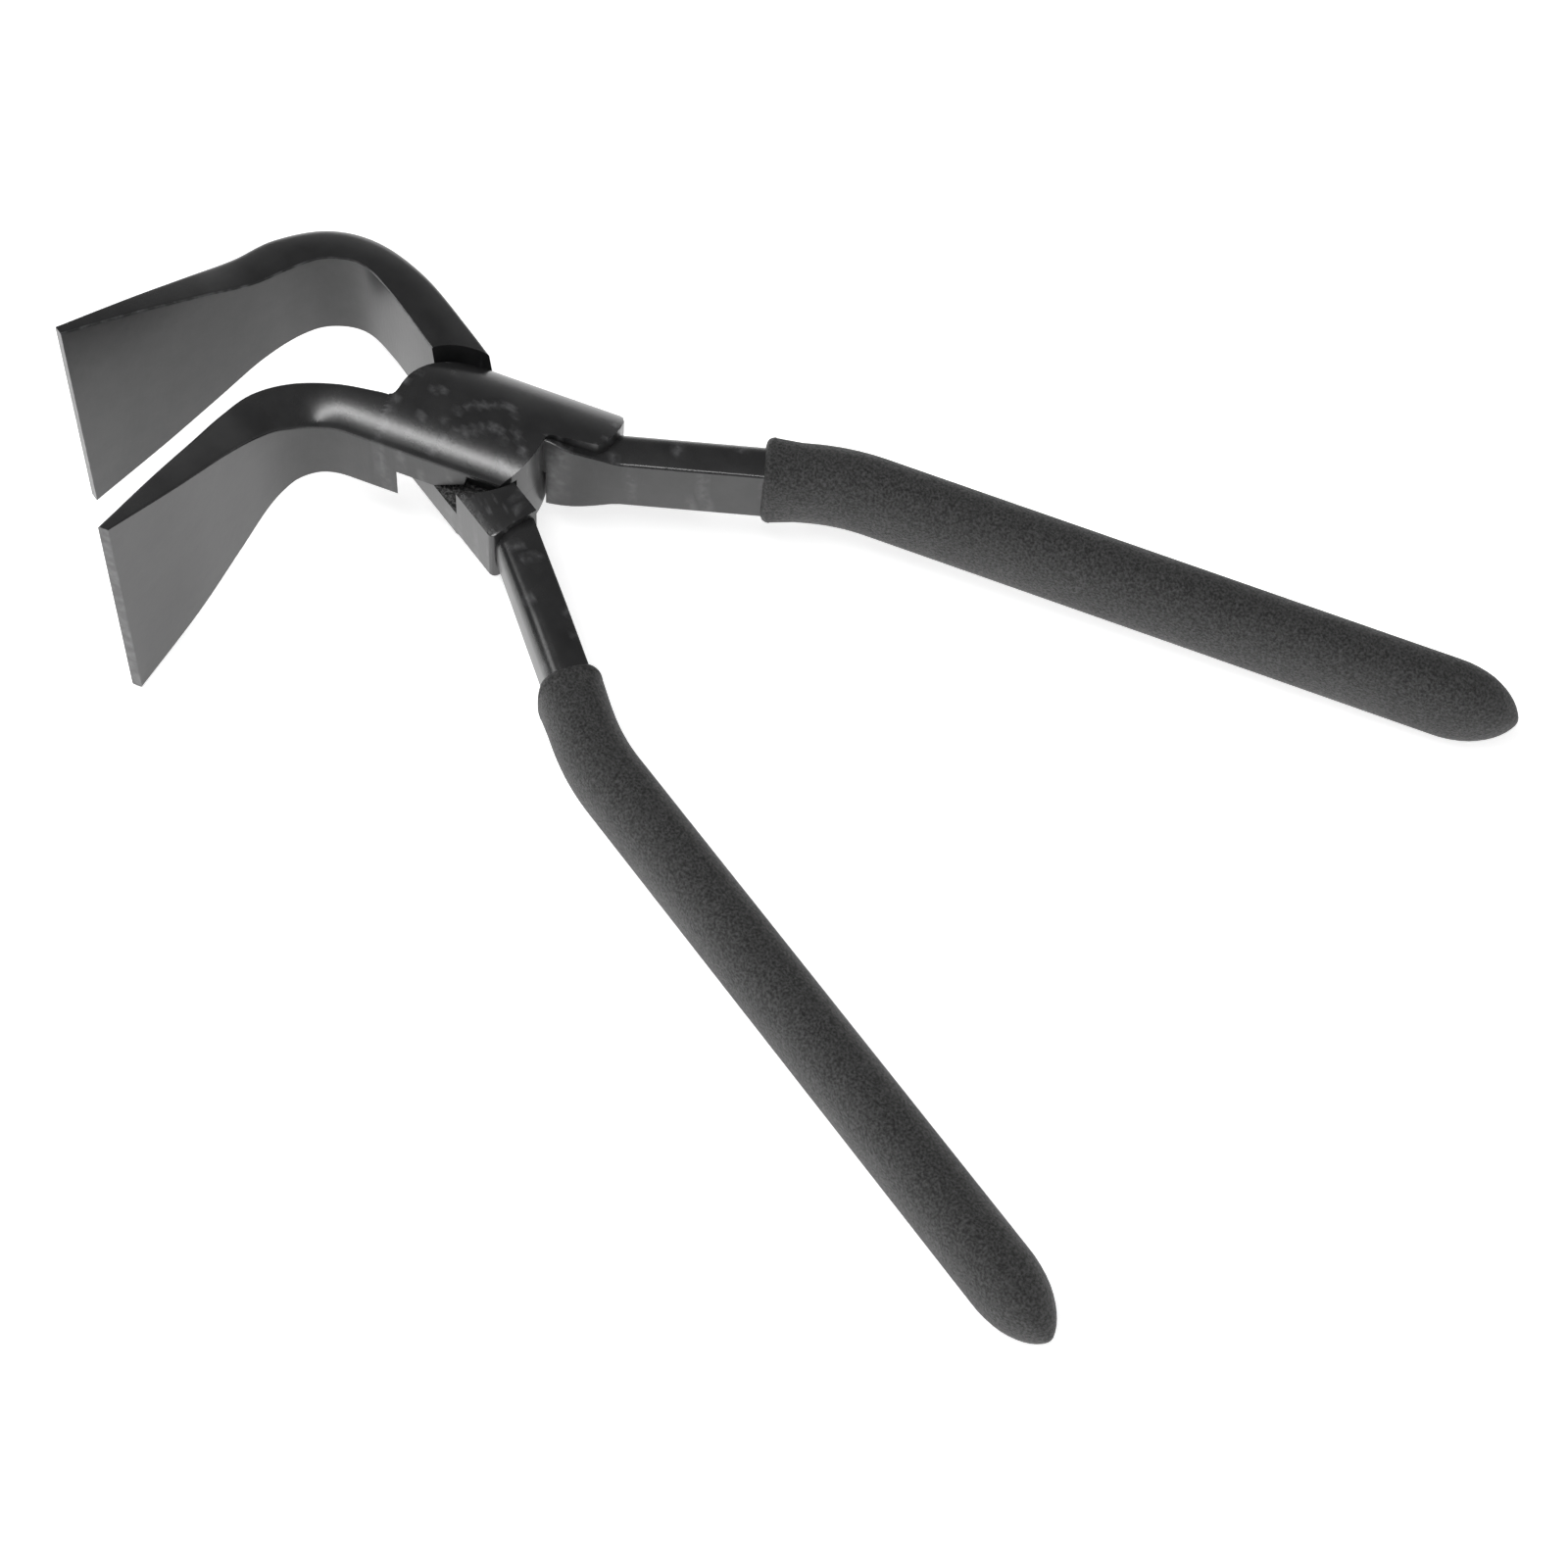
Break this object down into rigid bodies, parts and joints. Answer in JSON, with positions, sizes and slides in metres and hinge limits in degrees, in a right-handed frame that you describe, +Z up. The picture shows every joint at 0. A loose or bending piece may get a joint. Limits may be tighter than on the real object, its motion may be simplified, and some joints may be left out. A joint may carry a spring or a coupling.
{
  "type": "bent seaming pliers",
  "caption": "Sheet metal seaming pliers with wide flat jaws bent square to the handles, a flush lap joint, blackened steel arms and dipped vinyl grips, shown open.",
  "frame": {"origin": "centre of the joint: on the pivot axis, in the plane where the two half-laps meet", "axes": "+Z up the pivot axis, +X towards the handles along the middle of the opening, jaws bent towards -Y"},
  "size_m": [0.2701, 0.1708, 0.06],
  "materials": {
    "blackened_steel": "semi-gloss black oxide over forged and ground steel",
    "rivet_steel": "blackened with the arms and ground flush",
    "black_vinyl": "fine-grained matte dipped vinyl"
  },
  "bodies": {
    "upper_half": {"upper_arm": "blackened_steel", "pivot_rivet": "rivet_steel", "upper_arm_grip": "black_vinyl"},
    "lower_half": {"lower_arm": "blackened_steel", "lower_arm_grip": "black_vinyl"}
  },
  "joints": [
    {"name": "jaw_pivot", "type": "hinge", "parent": "upper_half", "child": "lower_half", "pos_m": [0, 0, 0], "axis": [0, 0, 1], "range_deg": [-14, 32.8]}
  ]
}
